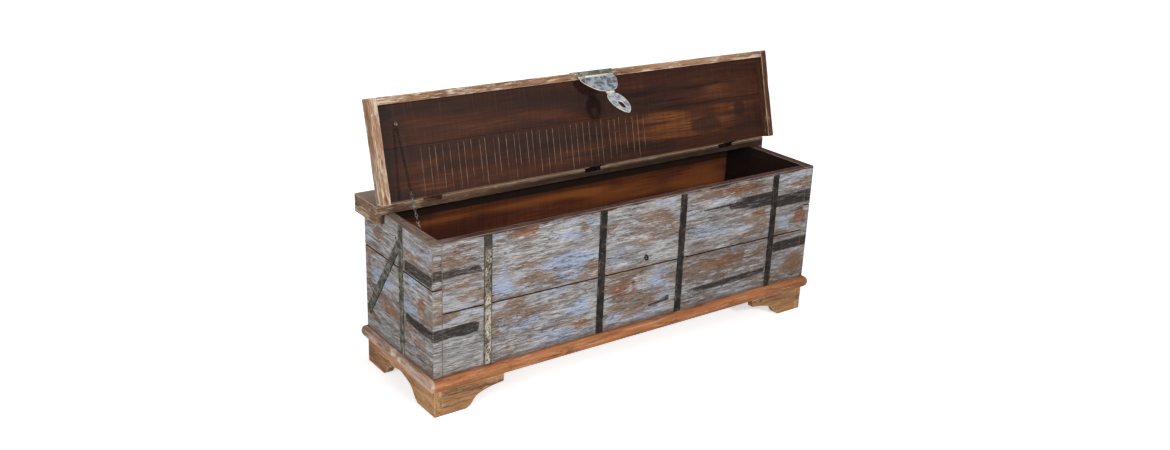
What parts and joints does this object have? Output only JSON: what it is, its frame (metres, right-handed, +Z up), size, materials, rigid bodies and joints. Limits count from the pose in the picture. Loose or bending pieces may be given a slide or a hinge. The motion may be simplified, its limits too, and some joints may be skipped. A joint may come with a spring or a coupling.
{
  "type": "wooden storage chest",
  "caption": "Painted wooden chest on bracket feet with a tray lid hinged to a fixed back rail, iron straps, a hinged hasp and a stay chain.",
  "frame": {"origin": "middle of the floor outline, on the floor plane", "axes": "+X along the chest to its right end, +Z up; the front with the hasp staple faces -Y"},
  "size_m": [1.2448, 0.3674, 0.711],
  "materials": {
    "painted_wood": "worn pale paint over brown wood",
    "painted_wood_side": "worn pale paint over brown wood",
    "bare_wood": "unfinished",
    "plinth_wood": "waxed",
    "foot_wood": "worn",
    "rim_wood": "worn",
    "lid_wood": "dark, worn",
    "rail_wood": "worn",
    "strap_iron": "dull, rusted",
    "hinge_iron": "black",
    "hasp_metal": "pale grey, worn",
    "chain_iron": "dull"
  },
  "bodies": {
    "chest": {"front_board_lower": "painted_wood", "back_board_lower": "painted_wood", "left_board_lower": "painted_wood_side", "right_board_lower": "painted_wood_side", "front_board_upper": "painted_wood", "back_board_upper": "painted_wood", "left_board_upper": "painted_wood_side", "right_board_upper": "painted_wood_side", "floor_board_front": "bare_wood", "floor_board_back": "bare_wood", "floor_batten_left": "bare_wood", "floor_batten_right": "bare_wood", "plinth_front": "plinth_wood", "plinth_back": "plinth_wood", "plinth_left": "plinth_wood", "plinth_right": "plinth_wood", "foot_front_left": "foot_wood", "foot_block_front_left": "bare_wood", "foot_front_right": "foot_wood", "foot_block_front_right": "bare_wood", "foot_back_left": "foot_wood", "foot_block_back_left": "bare_wood", "foot_back_right": "foot_wood", "foot_block_back_right": "bare_wood", "foot_side_left": "foot_wood", "foot_side_right": "foot_wood", "strap_front_1": "strap_iron", "strap_front_2": "strap_iron", "strap_front_3": "strap_iron", "strap_front_4": "strap_iron", "strap_left_upright": "strap_iron", "strap_right_upright": "strap_iron", "strap_left_diagonal": "strap_iron", "rail_board": "rail_wood", "rail_end_left": "rail_wood", "rail_end_right": "rail_wood", "hinge_1_rail_leaf": "hinge_iron", "hinge_1_pin": "hinge_iron", "hinge_2_rail_leaf": "hinge_iron", "hinge_2_pin": "hinge_iron", "hinge_3_rail_leaf": "hinge_iron", "hinge_3_pin": "hinge_iron", "hasp_staple": "hinge_iron", "chain_eye_chest": "chain_iron"},
    "lid": {"lid_board_front": "lid_wood", "lid_board_rear": "lid_wood", "lid_rim_front": "rim_wood", "lid_rim_left": "rim_wood", "lid_rim_right": "rim_wood", "hinge_1_lid_leaf": "hinge_iron", "hinge_2_lid_leaf": "hinge_iron", "hinge_3_lid_leaf": "hinge_iron", "hasp_plate": "hasp_metal", "chain_eye_lid": "chain_iron"},
    "hasp_pin_body": {"hasp_pin": "hinge_iron"},
    "hasp_leaf_body": {"hasp_leaf": "hasp_metal"},
    "hasp_tongue_body": {"hasp_tongue": "hasp_metal"},
    "chain_lower_body": {"chain_lower": "chain_iron"},
    "chain_upper_body": {"chain_upper": "chain_iron"}
  },
  "joints": [
    {"name": "lid_hinge", "type": "hinge", "parent": "chest", "child": "lid", "pos_m": [0, 0.0563, 0.4577], "axis": [1, 0, 0], "range_deg": [0, 105]},
    {"name": "hasp_hang", "type": "hinge", "parent": "lid", "child": "hasp_pin_body", "pos_m": [0.01, 0.07171, 0.69717], "axis": [1, 0, 0], "range_deg": [-60, 5]},
    {"name": "hasp_swing", "type": "hinge", "parent": "hasp_pin_body", "child": "hasp_leaf_body", "pos_m": [0.01, 0.07171, 0.69717], "axis": [1, 0, 0], "range_deg": [-78, 3.5]},
    {"name": "tongue_swing", "type": "hinge", "parent": "hasp_leaf_body", "child": "hasp_tongue_body", "pos_m": [0.01, 0.00543, 0.66904], "axis": [1, 0, 0], "range_deg": [-120, 0]},
    {"name": "chain_lower_swing", "type": "hinge", "parent": "chest", "child": "chain_lower_body", "pos_m": [-0.568, -0.066, 0.4], "axis": [1, 0, 0], "range_deg": [-145, 5]},
    {"name": "chain_upper_swing", "type": "hinge", "parent": "lid", "child": "chain_upper_body", "pos_m": [-0.558, 0.07485, 0.64167], "axis": [1, 0, 0], "range_deg": [-60, 5]}
  ],
  "couplings": [
    {"joint": "hasp_hang", "follows": "lid_hinge", "ratio": -0.395},
    {"joint": "chain_lower_swing", "follows": "lid_hinge", "ratio": -1.3769},
    {"joint": "chain_upper_swing", "follows": "lid_hinge", "ratio": -0.4646}
  ]
}
